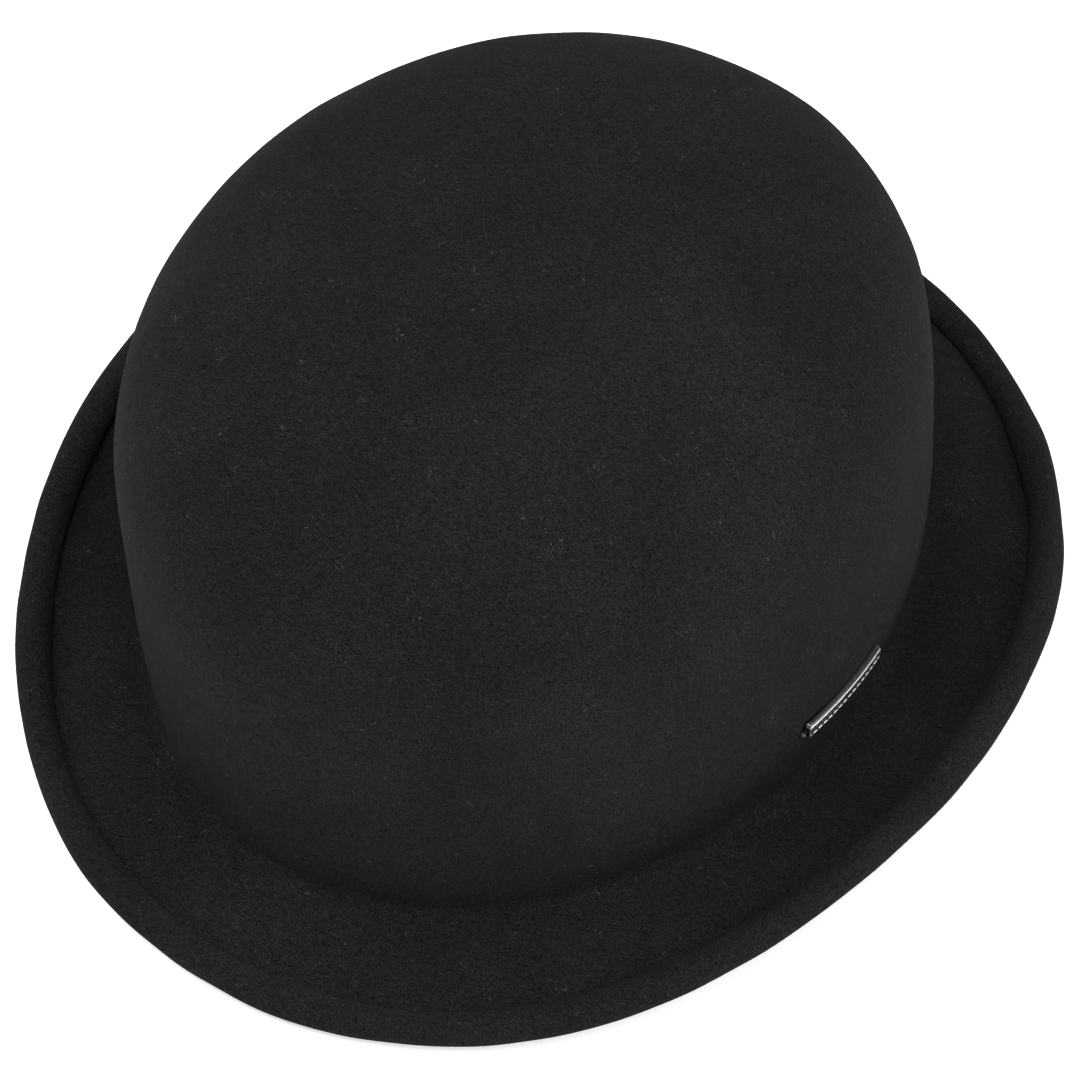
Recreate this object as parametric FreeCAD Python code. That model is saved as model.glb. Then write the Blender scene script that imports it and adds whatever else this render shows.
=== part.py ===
import FreeCAD, Part
import math
import os

# A wool felt bowler hat at its real size, in millimetres.
# Frame: +Z is up, the front of the hat faces -Y, the wearer's left is +X.
# The origin is on the surface that the hat stands on, under the middle of the brim.

V = FreeCAD.Vector

# Felt hood: crown, brim and rolled edge are one blocked piece of felt.
FELT = 2.2                # thickness of the felt
CROWN_LINE = 12.9         # height of the line where crown and brim meet
CROWN_BACK = -1.9         # place of the crown's middle along Y
CROWN_HALF_X = 85.0       # half width of the crown on the crown line, outside
CROWN_HALF_Y = 105.3      # half length of the crown on the crown line, outside
CROWN_HEIGHT = 120.8      # crown line to the top of the dome
WALL_HEIGHT = 39.7        # height of the wall, where the dome starts
WALL_BULGE_X = 3.3        # how far the wall swells at the sides
WALL_BULGE_Y = -1.5       # how far it draws in at front and back
FOOT_TUCK = 1.1           # how far the wall draws in where it turns into the brim
DOME_POWER_UP = 4.2       # exponent of the dome's rounded outline, upwards
DOME_POWER_OUT = 3.2      # exponent of the dome's rounded outline, outwards
TOP_FORWARD = 6.7         # how far the top of the crown leans to the front
DOME_DIP = 1.85           # how much lower the back of the dome lies than its middle

# Brim, measured to the middle of its rolled edge.
BRIM_HALF_X = 115.0
BRIM_HALF_Y = 132.0
ROLL_RADIUS = 4.15        # outside radius of the rolled edge
RIM_HEIGHT = 11.05        # mean height of the roll's middle
RIM_CURL = 9.1            # how far the sides rise and front and back dip
RIM_SHAPE = 2.2           # keeps the lowest parts at front and back long and flat
BREAK_RADIUS = 5.0        # bend between wall and brim, at the middle of the felt
ROOT_SLOPE = 0.7          # the brim's slope beside the crown, as a share of its mean
EDGE_SLOPE = 1.3          # the brim's slope beside the roll, as a share of its mean
ROLL_OVERLAP = 12.0       # degrees that the roll turns past level before the cut edge

# Pieces inside.
WIRE_RADIUS = 0.6
WIRE_OFFSET = 0.8         # the wire lies this far outside the middle of the roll
JOINER_RADIUS = 1.0
JOINER_LENGTH = 16.0
BAND_FOOT = 15.2          # height of the sweatband's lower edge
BAND_WIDTH = 36.0
LEATHER = 0.8
BAND_GAP_LOW = 0.55       # between felt and leather at the sweatband's lower edge
BAND_GAP_HIGH = 2.9       # between felt and leather at its upper edge
BUTT_GAP = 0.5            # between the two ends of the sweatband at the back
REED_RADIUS = 0.5
REED_HEIGHT = 13.7
REED_DEPTH = 1.15         # felt to the reed's middle
TAPE = 0.3
TAPE_HEIGHT = 8.0         # how far the reed's tape reaches up behind the leather
STITCH_COUNT = 84
STITCH_LENGTH = 4.2
STITCH_THICK = 0.4
STITCH_RAISE = 2.6        # height of the stitches above the leather's lower edge
CLOTH = 0.4
LINING_GAP = 1.2          # between felt and lining
LINING_FOOT = 43.0        # height where the lining ends behind the sweatband
TIP_EDGE = 0.42           # seam of the lining's tip, as a share of the dome's arc
SEAM_GAP = 0.004          # share of the arc left on each side of the seam
PIPING_RADIUS = 1.1

# Pieces at the back and the badge.
TAB_MIDDLE = 32.0         # height of the middle of the patch behind the sweatband's joint
TAB_HEIGHT = 15.0
TAB_WIDTH = 14.0
TAB_THICK = 0.4
BOW_HEIGHT = 30.0
TAIL_LENGTH = 13.0
TAIL_WIDTH = 6.0
BOW_RIBBON = 8.0
BOW_LOOP = 12.5
BOW_DEPTH = 2.4
RIBBON = 0.4
BADGE_HEIGHT = 36.9
BADGE_ANGLE = 0.9         # degrees round from the wearer's left towards the back
BADGE_LENGTH = 29.0
BADGE_WIDTH = 5.0
BADGE_THICK = 1.7
RECESS_DEPTH = 0.6
PRONG_WIDTH = 3.0
PRONG_THICK = 0.5
PRONG_REACH = 9.5         # middle of the badge to the middle of each prong
KEEPER = 0.5

AROUND = 72               # points round the hat in the felt's surface
BAND_ROWS = 14            # rows of points in each face of a surface
CLEAR = 0.1               # gap left between pieces that lie on each other


# Points on the felt.

def dome_shape(share):
    """Height and width, each 0 to 1, at a share of the way from the top of the dome to its wall."""
    angle = share * math.pi / 2
    low, high = 0.9, 1.6
    for _ in range(40):
        reach = (low + high) / 2
        up = max(reach * math.cos(angle), 0.0) ** DOME_POWER_UP
        out = max(reach * math.sin(angle), 0.0) ** DOME_POWER_OUT
        if up + out > 1:
            high = reach
        else:
            low = reach
    return reach * math.cos(angle), reach * math.sin(angle)


def crown(turn, place, depth):
    """Point of the crown: place 0 is the top, 1 the top of the wall, 2 the crown line; depth is inwards."""
    if place < 1:
        up, out = dome_shape(place)
        height = WALL_HEIGHT + (CROWN_HEIGHT - depth - WALL_HEIGHT) * up
        swell = 1.0
    else:
        height = WALL_HEIGHT * (2 - place)
        out = 1.0
        swell = math.sin(min(max(height / WALL_HEIGHT, 0), 1) * math.pi / 2)
    tuck = FOOT_TUCK * (1 - swell)
    half_x = CROWN_HALF_X - tuck + WALL_BULGE_X * swell - depth
    half_y = CROWN_HALF_Y - tuck + WALL_BULGE_Y * swell - depth
    x = half_x * out * math.cos(turn)
    y = half_y * out * math.sin(turn)
    dip = DOME_DIP * y / CROWN_HALF_Y * min(max(height / WALL_HEIGHT, 0), 1)
    y = y - TOP_FORWARD * height / CROWN_HEIGHT + CROWN_BACK
    return V(x, y, height + CROWN_LINE - dip)


def place_at(height):
    """The place value of the wall at a height above the ground."""
    return 2 - (height - CROWN_LINE) / WALL_HEIGHT


def wall(turn, height, depth):
    """Point of the crown's wall, at a depth inwards from the felt's inner face."""
    return crown(turn, place_at(height), FELT + depth)


def rim(turn):
    """Middle of the rolled edge."""
    rise = RIM_HEIGHT + RIM_CURL * math.cos(2 * turn) + RIM_SHAPE * math.cos(4 * turn)
    return V(BRIM_HALF_X * math.cos(turn), BRIM_HALF_Y * math.sin(turn), rise)


def outward(turn, half_x, half_y):
    """Level direction square to an ellipse."""
    return V(half_y * math.cos(turn), half_x * math.sin(turn), 0).normalize()


def wall_lean(turn, height):
    """Angle by which the wall leans outwards, going up."""
    rise = crown(turn, place_at(height + 1), 0) - crown(turn, place_at(height), 0)
    return math.atan2(rise.dot(outward(turn, CROWN_HALF_X, CROWN_HALF_Y)), rise.z)


def felt_middle(turn):
    """Middle line of the felt from the top of the dome to the cut edge inside the roll."""
    half = FELT / 2
    points = [crown(turn, share, half) for share in DOME_STEPS]
    out = outward(turn, CROWN_HALF_X, CROWN_HALF_Y)
    root_height = CROWN_LINE - FOOT_TUCK - half
    lean = wall_lean(turn, root_height + BREAK_RADIUS)
    bend_top = root_height + BREAK_RADIUS * (1 + math.sin(lean))
    wall_top = CROWN_LINE + WALL_HEIGHT
    for step in range(1, 7):
        height = bend_top + (wall_top - bend_top) * (1 - step / 7) ** 1.6
        points.append(crown(turn, place_at(height), half))

    edge = rim(turn)
    edge_out = outward(turn, BRIM_HALF_X, BRIM_HALF_Y)
    middle_radius = ROLL_RADIUS - half
    foot = crown(turn, place_at(bend_top), half)
    centre = around(foot, out, BREAK_RADIUS, -lean)
    run = math.hypot(edge.x - centre.x, edge.y - centre.y)
    slope = (edge.z - middle_radius - root_height) / run
    root = math.atan(ROOT_SLOPE * slope)
    tip = math.atan(EDGE_SLOPE * slope)

    bend_start = math.pi - lean
    bend_end = math.pi * 1.5 + root
    for step in range(7):
        angle = bend_start + (bend_end - bend_start) * step / 6
        points.append(around(centre, out, BREAK_RADIUS, angle))

    start = points[-1]
    roll_start = tip - math.pi / 2
    end = around(edge, edge_out, middle_radius, roll_start)
    third = (end - start).Length / 3
    start_pull = start + (out * math.cos(root) + V(0, 0, math.sin(root))) * third
    end_pull = end - (edge_out * math.cos(tip) + V(0, 0, math.sin(tip))) * third
    for step in range(1, 9):
        along = (1 - math.cos(math.pi * step / 9)) / 2
        points.append(bezier(start, start_pull, end_pull, end, along))

    roll_end = math.pi + tip + math.radians(ROLL_OVERLAP)
    for step in range(13):
        angle = roll_start + (roll_end - roll_start) * step / 12
        points.append(around(edge, edge_out, middle_radius, angle))
    return points


def around(centre, out, radius, angle):
    return centre + out * (radius * math.cos(angle)) + V(0, 0, radius * math.sin(angle))


def bezier(a, b, c, d, t):
    s = 1 - t
    return a * s ** 3 + b * (3 * s * s * t) + c * (3 * s * t * t) + d * t ** 3


DOME_STEPS = [0.0, 1 / 54] + [step / 18 for step in range(1, 19)]


# Surfaces and solids.

def settle(rows, closed):
    """Poles of a cubic surface that passes through the given points, along the rows."""
    poles = []
    count = len(rows)
    for i, row in enumerate(rows):
        if not closed and (i < 2 or i > count - 3):
            poles.append(list(row))
            continue
        before, after = rows[i - 1], rows[(i + 1) % count]
        poles.append([p - (a - p * 2 + b) * (1 / 6) for p, a, b in zip(row, before, after)])
    return poles


def ring_solid(rings, closed):
    """Solid whose surface runs through rings: a closed loop of them, or one pole to the other."""
    rings = settle(rings, closed)
    lines = settle([list(line) for line in zip(*rings)], True)
    rings = [list(ring) for ring in zip(*lines)]
    rows, columns = len(rings), len(lines)
    if closed:
        row_knots = list(range(rows + 1))
        row_mults = [1] * (rows + 1)
    else:
        row_knots = list(range(rows - 2))
        row_mults = [4] + [1] * (rows - 4) + [4]
    surface = Part.BSplineSurface()
    surface.buildFromPolesMultsKnots(rings, row_mults, [1] * (columns + 1), row_knots,
                                     list(range(columns + 1)), closed, True, 3, 3)
    bands = max(2, rows // BAND_ROWS)
    row_cuts = [row_knots[round(row_knots[-1] * k / bands)] for k in range(bands + 1)]
    faces = []
    for low, high in zip(row_cuts, row_cuts[1:]):
        for quarter in range(4):
            patch = surface.copy()
            patch.segment(low, high, columns * quarter // 4, columns * (quarter + 1) // 4)
            faces.append(patch.toShape())
    skin_faces = Part.Compound(faces)
    skin_faces.sewShape()
    solid = Part.Solid(Part.Shell(skin_faces.Faces))
    if solid.Volume < 0:
        solid.reverse()
    return solid


def turns(count):
    """Angles round the hat; the first lies between the wearer's left and the front."""
    return [2 * math.pi * step / count - math.pi / 4 for step in range(count)]


def loop_solid(loop, count):
    """Ring-shaped solid from a function that gives the closed outline of its section at each turn."""
    outlines = [loop(turn) for turn in turns(count)]
    return ring_solid([list(row) for row in zip(*outlines)], True)


def felt_body():
    middles = [felt_middle(turn) for turn in turns(AROUND)]
    rows = len(middles[0])
    half = FELT / 2
    top, under, cut = [], [], []
    for i in range(rows):
        top_ring, under_ring = [], []
        for j in range(AROUND):
            here = middles[j]
            ahead, behind = here[min(i + 1, rows - 1)], here[max(i - 1, 0)]
            left, right = middles[(j + 1) % AROUND][i], middles[j - 1][i]
            normal = V(0, 0, 1)
            if i > 0:
                normal = (ahead - behind).cross(left - right).normalize()
            top_ring.append(here[i] + normal * half)
            under_ring.append(here[i] - normal * half)
        top.append(top_ring)
        under.append(under_ring)
    for angle in (45, 90, 135):
        turned = math.radians(angle)
        ring = []
        for j in range(AROUND):
            across = (top[-1][j] - under[-1][j]) * 0.5
            ahead = (middles[j][-1] - middles[j][-2]).normalize() * half
            ring.append(middles[j][-1] + across * math.cos(turned) + ahead * math.sin(turned))
        cut.append(ring)
    return ring_solid(top + cut + under[::-1], False)


def skin(places, depth, thickness, count):
    """Ring of cloth or leather that follows the crown between two places, from depth inwards."""
    def loop(turn):
        near = [crown(turn, place, FELT + depth(place)) for place in places]
        far = [crown(turn, place, FELT + depth(place) + thickness) for place in places]
        return near + far[::-1]
    return loop_solid(loop, count)


def eased(start, end, steps):
    """Values from start to end that crowd together at both ends."""
    return [start + (end - start) * (1 - math.cos(math.pi * i / steps)) / 2 for i in range(steps + 1)]


# Frames and plates on the crown's wall.

def band_gap(height):
    """Gap between the felt and the leather at a height."""
    share = (height - BAND_FOOT) / BAND_WIDTH
    return BAND_GAP_LOW + (BAND_GAP_HIGH - BAND_GAP_LOW) * min(max(share, 0), 1)


def wall_frame(turn, height, depth_at):
    """Placement on the wall: X along the hat's turn, Y up, Z outwards, at a depth that depends on height."""
    here = wall(turn, height, depth_at(height))
    up = wall(turn, height + 1, depth_at(height + 1)) - wall(turn, height - 1, depth_at(height - 1))
    along = wall(turn + 0.01, height, depth_at(height)) - wall(turn - 0.01, height, depth_at(height))
    out = along.cross(up)
    return FreeCAD.Placement(here, FreeCAD.Rotation(along, up, out, "ZXY"))


def on_felt(turn, height, depth):
    """Frame on the felt's inner face, or deeper."""
    return wall_frame(turn, height, lambda level: depth)


def on_band(turn, height, depth):
    """Frame on the leather's inner face, or deeper."""
    return wall_frame(turn, height, lambda level: band_gap(level) + LEATHER + depth)


def wall_radius(turn):
    """Radius of the wall's bend, seen from above."""
    half_x = CROWN_HALF_X + WALL_BULGE_X
    half_y = CROWN_HALF_Y + WALL_BULGE_Y
    mixed = (half_x * math.sin(turn)) ** 2 + (half_y * math.cos(turn)) ** 2
    return mixed ** 1.5 / (half_x * half_y)


def bent_plate(radius, length, width, inner, outer, corner=0.0):
    """Plate bent about an upright axis, centred on its frame, from inner to outer along Z."""
    swing = length / (2 * radius)

    def at(angle, level):
        reach = radius + level
        return V(reach * math.sin(angle), -width / 2, reach * math.cos(angle) - radius)
    edges = [Part.Arc(at(-swing, outer), at(0, outer), at(swing, outer)).toShape(),
             Part.LineSegment(at(swing, outer), at(swing, inner)).toShape(),
             Part.Arc(at(swing, inner), at(0, inner), at(-swing, inner)).toShape(),
             Part.LineSegment(at(-swing, inner), at(-swing, outer)).toShape()]
    plate = Part.Face(Part.Wire(edges)).extrude(V(0, width, 0))
    if corner:
        short = [e for e in plate.Edges if abs(e.Length - (outer - inner)) < 1e-3]
        plate = plate.makeFillet(corner, short)
    return plate


def placed(shape, placement):
    shape = shape.copy()
    shape.Placement = placement.multiply(shape.Placement)
    return shape


# Brim wire.

def wire_loop(turn, radius):
    middle = rim(turn)
    out = outward(turn, BRIM_HALF_X, BRIM_HALF_Y)
    centre = middle + out * WIRE_OFFSET
    return [around(centre, out, radius, math.pi * k / 4) for k in range(8)]


def brim_wire():
    ring = loop_solid(lambda turn: wire_loop(turn, WIRE_RADIUS), AROUND)
    gap = Part.makeBox(1.0, 20, 20, V(-0.5, BRIM_HALF_Y - 10, -5))
    return ring.cut(gap)


def brim_wire_joiner():
    outside = loop_solid(lambda turn: wire_loop(turn, JOINER_RADIUS), AROUND)
    inside = loop_solid(lambda turn: wire_loop(turn, WIRE_RADIUS + CLEAR), AROUND)
    span = Part.makeBox(JOINER_LENGTH, 20, 20, V(-JOINER_LENGTH / 2, BRIM_HALF_Y - 10, -5))
    return outside.common(span).cut(inside)


# Sweatband and what joins it to the felt.

def back_slot(low, high):
    return Part.makeBox(BUTT_GAP, 30, high - low, V(-BUTT_GAP / 2, CROWN_HALF_Y - 25, low))


def sweatband():
    heights = eased(BAND_FOOT, BAND_FOOT + BAND_WIDTH, 8)
    places = [place_at(height) for height in heights]
    strip = skin(places, lambda place: band_gap(CROWN_LINE + WALL_HEIGHT * (2 - place)), LEATHER, 64)
    return strip.cut(back_slot(BAND_FOOT - 5, BAND_FOOT + BAND_WIDTH + 10))


def reed_loop(turn, radius):
    centre = wall(turn, REED_HEIGHT, REED_DEPTH)
    out = outward(turn, CROWN_HALF_X, CROWN_HALF_Y)
    return [around(centre, out, radius, math.pi * k / 4) for k in range(8)]


def sweatband_reed():
    ring = loop_solid(lambda turn: reed_loop(turn, REED_RADIUS), 64)
    return ring.cut(back_slot(REED_HEIGHT - 5, REED_HEIGHT + 5))


def tape_loop(turn):
    """Tape folded round the reed, with its flat part standing up between felt and leather."""
    out = outward(turn, CROWN_HALF_X, CROWN_HALF_Y)
    centre = wall(turn, REED_HEIGHT, REED_DEPTH)
    near = REED_RADIUS + CLEAR
    far = near + TAPE
    low = REED_HEIGHT + far + 0.3
    heights = [low + (TAPE_HEIGHT - far) * k / 4 for k in range(5)]
    felt_side = [wall(turn, height, CLEAR) for height in heights]
    band_side = [wall(turn, height, CLEAR + TAPE) for height in heights]
    angles = [math.radians(a) for a in (30, -10, -50, -90, -130, -170, -210)]
    outside = [around(centre, out, far, angle) for angle in angles]
    inside = [around(centre, out, near, angle) for angle in angles]
    return felt_side[::-1] + outside + inside[::-1] + band_side


def reed_tape():
    return loop_solid(tape_loop, 64)


def capsule(length, radius):
    """Short thread with round ends, lying along X."""
    body = Part.makeCylinder(radius, length - 2 * radius, V(radius - length / 2, 0, 0), V(1, 0, 0))
    for side in (-1, 1):
        body = body.fuse(Part.makeSphere(radius, V(side * (length / 2 - radius), 0, 0)))
    return body.removeSplitter()


def sweatband_stitches():
    """One row of lockstitches that joins the leather to the reed's tape."""
    height = BAND_FOOT + STITCH_RAISE
    stitches = []
    for step in range(STITCH_COUNT):
        turn = 2 * math.pi * (step + 0.5) / STITCH_COUNT
        stitch = capsule(STITCH_LENGTH, STITCH_THICK / 2)
        stitches.append(placed(stitch, on_band(turn, height, STITCH_THICK / 2 + CLEAR)))
    return Part.Compound(stitches)


BACK = math.pi / 2


def sweatband_tab():
    """Leather patch behind the butt joint at the back."""
    plate = bent_plate(wall_radius(BACK), TAB_WIDTH, TAB_HEIGHT, 0.0, TAB_THICK, 2.0)
    return placed(plate, on_band(BACK, TAB_MIDDLE, -LEATHER - CLEAR))


def tab_stitches():
    """Zigzag thread that closes the butt joint over the patch."""
    stitches = []
    for step in range(6):
        height = TAB_MIDDLE - 1.0 + 3.0 * step
        lean = 40 if step % 2 else -40
        stitch = capsule(STITCH_LENGTH, STITCH_THICK / 2)
        stitch.rotate(V(0, 0, 0), V(0, 0, 1), lean)
        stitches.append(placed(stitch, on_band(BACK, height, STITCH_THICK / 2 + 2 * CLEAR)))
    return Part.Compound(stitches)


# Bow at the back of the sweatband.

def bow_loop(side):
    """Loop of ribbon, a flat ring standing on edge."""
    half = BOW_DEPTH / 2

    def oval(long, deep):
        start, end = deep, long - deep
        edges = [Part.LineSegment(V(start, 0, deep), V(end, 0, deep)).toShape(),
                 Part.Arc(V(end, 0, deep), V(end + deep, 0, 0), V(end, 0, -deep)).toShape(),
                 Part.LineSegment(V(end, 0, -deep), V(start, 0, -deep)).toShape(),
                 Part.Arc(V(start, 0, -deep), V(start - deep, 0, 0), V(start, 0, deep)).toShape()]
        return Part.Face(Part.Wire(edges)).extrude(V(0, BOW_RIBBON, 0))
    hole = oval(BOW_LOOP - 2 * RIBBON, half - RIBBON)
    hole.translate(V(RIBBON, 0, 0))
    loop = oval(BOW_LOOP, half).cut(hole)
    loop.translate(V(-BOW_LOOP / 2, -BOW_RIBBON / 2, 0))
    return placed(loop, on_band(BACK + side * 0.11, BOW_HEIGHT, half + 2.0))


def bow_knot():
    block = Part.makeBox(4.6, BOW_RIBBON + 1.6, BOW_DEPTH + 0.8)
    block.translate(V(-2.3, -(BOW_RIBBON + 1.6) / 2, -(BOW_DEPTH + 0.8) / 2))
    block = block.makeFillet(0.9, block.Edges)
    return placed(block, on_band(BACK, BOW_HEIGHT, BOW_DEPTH / 2 + 2.1))


def bow_tails():
    """Two ends of ribbon, cut at a slant, that hang from the knot against the leather."""
    tails = []
    for side in (-1, 1):
        outline = [V(0, 0, 0), V(TAIL_LENGTH, 0, 0), V(TAIL_LENGTH - 3, -TAIL_WIDTH, 0), V(0, -TAIL_WIDTH, 0)]
        strip = Part.Face(Part.makePolygon(outline + outline[:1])).extrude(V(0, 0, RIBBON))
        strip.translate(V(0, TAIL_WIDTH / 2, 0))
        strip.rotate(V(0, 0, 0), V(0, 0, 1), -38)
        strip.translate(V(-3.5, 0, 0))
        if side < 0:
            strip = strip.mirror(V(0, 0, 0), V(1, 0, 0))
        tails.append(placed(strip, on_band(BACK + side * 0.07, BOW_HEIGHT - 2, 1.5)))
    return Part.Compound(tails)


# Lining.

def lining_side():
    places = eased(TIP_EDGE + SEAM_GAP, place_at(LINING_FOOT), 14)
    return skin(places, lambda place: LINING_GAP, CLOTH, 48)


def lining_tip():
    shares = [0.0, 0.02] + eased(0.06, TIP_EDGE - SEAM_GAP, 7)
    depth = FELT + LINING_GAP
    rings = [[crown(turn, share, depth) for turn in turns(48)] for share in shares]
    under = [[crown(turn, share, depth + CLOTH) for turn in turns(48)] for share in shares]
    return ring_solid(rings + under[::-1], False)


def lining_piping():
    def loop(turn):
        centre = crown(turn, TIP_EDGE, FELT + LINING_GAP + PIPING_RADIUS + CLOTH + CLEAR)
        out = outward(turn, CROWN_HALF_X, CROWN_HALF_Y)
        return [around(centre, out, PIPING_RADIUS, math.pi * k / 4) for k in range(8)]
    return loop_solid(loop, 48)


# Labels.

def size_label():
    """Blank oval label on the sweatband."""
    turn = math.radians(62)
    plate = bent_plate(wall_radius(turn), 16, 10, -0.25, 0.0, 3.5)
    return placed(plate, on_band(turn, 36.0, 2 * CLEAR))


def care_label():
    """Blank woven label that stands up from behind the sweatband, against the lining."""
    turn = math.radians(106)
    plate = bent_plate(wall_radius(turn), 22, 26, -0.25, 0.0)
    return placed(plate, on_felt(turn, 56.0, LINING_GAP + CLOTH + 3 * CLEAR))


# Badge.

BADGE_TURN = math.radians(BADGE_ANGLE)


def badge_frame(depth):
    return on_felt(BADGE_TURN, BADGE_HEIGHT, depth)


def badge_plate():
    radius = wall_radius(BADGE_TURN)
    low = FELT + CLEAR
    body = bent_plate(radius, BADGE_LENGTH, BADGE_WIDTH, low, low + BADGE_THICK, 0.8)
    recess = bent_plate(radius, BADGE_LENGTH - 2.4, BADGE_WIDTH - 1.8,
                        low + BADGE_THICK - RECESS_DEPTH, low + BADGE_THICK + 1)
    return placed(body.cut(recess), badge_frame(0))


def badge_inlay():
    radius = wall_radius(BADGE_TURN)
    top = FELT + CLEAR + BADGE_THICK - RECESS_DEPTH
    plate = bent_plate(radius, BADGE_LENGTH - 2.5, BADGE_WIDTH - 1.9, top + 0.02, top + 0.3)
    return placed(plate, badge_frame(0))


def badge_relief():
    """Plain raised bars and a lozenge in the middle."""
    radius = wall_radius(BADGE_TURN)
    low = FELT + CLEAR + BADGE_THICK - 0.28
    marks = []
    for step in range(-4, 5):
        tall = 2.3 - 0.2 * abs(step)
        wide = 1.5
        mark = bent_plate(radius, wide, tall, low, low + 0.3)
        if step == 0:
            mark = bent_plate(radius, 1.7, 1.7, low, low + 0.38)
            mark.rotate(V(0, 0, 0), V(0, 0, 1), 45)
        mark.rotate(V(0, 0, -radius), V(0, 1, 0), math.degrees(step * 2.8 / radius))
        marks.append(placed(mark, badge_frame(0)))
    return Part.Compound(marks)


def prong_box(side, low, high, width, thick):
    radius = wall_radius(BADGE_TURN)
    box = Part.makeBox(thick, width, high - low, V(-thick / 2, -width / 2, low))
    box.rotate(V(0, 0, -radius), V(0, 1, 0), math.degrees(side * PRONG_REACH / radius))
    return placed(box, badge_frame(0))


def badge_prongs():
    """Two flat prongs, through the felt and bent inwards over the keeper."""
    fold_out = -(CLEAR + KEEPER + 0.05)
    prongs = []
    for side in (-1, 1):
        stem = prong_box(side, fold_out - PRONG_THICK, FELT + CLEAR - 0.02, PRONG_WIDTH, PRONG_THICK)
        radius = wall_radius(BADGE_TURN)
        fold = bent_plate(radius, 5.0, PRONG_WIDTH, fold_out - PRONG_THICK, fold_out)
        turned = math.degrees(side * (PRONG_REACH - 2.5 + PRONG_THICK / 2) / radius)
        fold.rotate(V(0, 0, -radius), V(0, 1, 0), turned)
        prongs.append(stem.fuse(placed(fold, badge_frame(0))).removeSplitter())
    return Part.Compound(prongs)


def badge_slots(grow):
    slots = [prong_box(side, -3, FELT + 1, PRONG_WIDTH + grow, PRONG_THICK + grow) for side in (-1, 1)]
    return Part.Compound(slots)


def badge_keeper():
    """Thin plate inside the crown that the prongs are bent over."""
    plate = bent_plate(wall_radius(BADGE_TURN), 24, 6, -CLEAR - KEEPER, -CLEAR, 1.5)
    return placed(plate, badge_frame(0)).cut(badge_slots(0.3))


NODES = {
    "felt_body": lambda: felt_body().cut(badge_slots(0.4)),
    "brim_wire": brim_wire,
    "brim_wire_joiner": brim_wire_joiner,
    "sweatband": sweatband,
    "sweatband_reed": sweatband_reed,
    "reed_tape": reed_tape,
    "sweatband_stitches": sweatband_stitches,
    "sweatband_tab": sweatband_tab,
    "tab_stitches": tab_stitches,
    "bow_loop_left": lambda: bow_loop(-1),
    "bow_loop_right": lambda: bow_loop(1),
    "bow_knot": bow_knot,
    "bow_tails": bow_tails,
    "lining_side": lining_side,
    "lining_tip": lining_tip,
    "lining_piping": lining_piping,
    "size_label": size_label,
    "care_label": care_label,
    "badge_plate": badge_plate,
    "badge_inlay": badge_inlay,
    "badge_relief": badge_relief,
    "badge_prongs": badge_prongs,
    "badge_keeper": badge_keeper,
}

os.makedirs("parts", exist_ok=True)
for name, make in NODES.items():
    shape = make()
    shape.exportStep("parts/" + name + ".step")
    box = shape.BoundBox
    print(name, shape.isValid(), len(shape.Solids), "volume", round(shape.Volume, 1),
          "box", [round(v, 1) for v in (box.XMin, box.XMax, box.YMin, box.YMax, box.ZMin, box.ZMax)])
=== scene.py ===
import math

import bmesh
import bpy
import numpy as np
from mathutils import Matrix, Vector


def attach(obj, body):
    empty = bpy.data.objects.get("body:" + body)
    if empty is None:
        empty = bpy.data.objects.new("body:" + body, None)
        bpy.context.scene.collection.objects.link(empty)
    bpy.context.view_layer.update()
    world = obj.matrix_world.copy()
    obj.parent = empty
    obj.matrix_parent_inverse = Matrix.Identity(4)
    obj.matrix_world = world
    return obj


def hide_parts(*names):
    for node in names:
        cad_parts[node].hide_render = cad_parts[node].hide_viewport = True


# A bowler hat's looks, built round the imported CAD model. The front faces -Y, the wearer's left is +X, +Z is up.
# The felt's shape is worked out in millimetres by the same formulas as the CAD solid, then made in metres.

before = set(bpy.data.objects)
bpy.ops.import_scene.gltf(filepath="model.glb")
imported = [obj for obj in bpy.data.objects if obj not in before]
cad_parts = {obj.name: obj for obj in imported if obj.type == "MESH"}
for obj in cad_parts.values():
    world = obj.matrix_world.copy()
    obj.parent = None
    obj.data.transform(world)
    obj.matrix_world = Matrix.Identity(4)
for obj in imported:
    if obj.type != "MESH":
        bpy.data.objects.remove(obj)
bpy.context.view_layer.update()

MM = 0.001
rng = np.random.default_rng(57)

# Felt, as in the CAD model.
FELT = 2.2
CROWN_LINE = 12.9
CROWN_BACK = -1.9
CROWN_HALF_X = 85.0
CROWN_HALF_Y = 105.3
CROWN_HEIGHT = 120.8
WALL_HEIGHT = 39.7
WALL_BULGE_X = 3.3
WALL_BULGE_Y = -1.5
FOOT_TUCK = 1.1
DOME_POWER_UP = 4.2
DOME_POWER_OUT = 3.2
TOP_FORWARD = 6.7
DOME_DIP = 1.85
BRIM_HALF_X = 115.0
BRIM_HALF_Y = 132.0
ROLL_RADIUS = 4.15
RIM_HEIGHT = 11.05
RIM_CURL = 9.1
RIM_SHAPE = 2.2
BREAK_RADIUS = 5.0
ROOT_SLOPE = 0.7
EDGE_SLOPE = 1.3
ROLL_OVERLAP = 12.0

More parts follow.
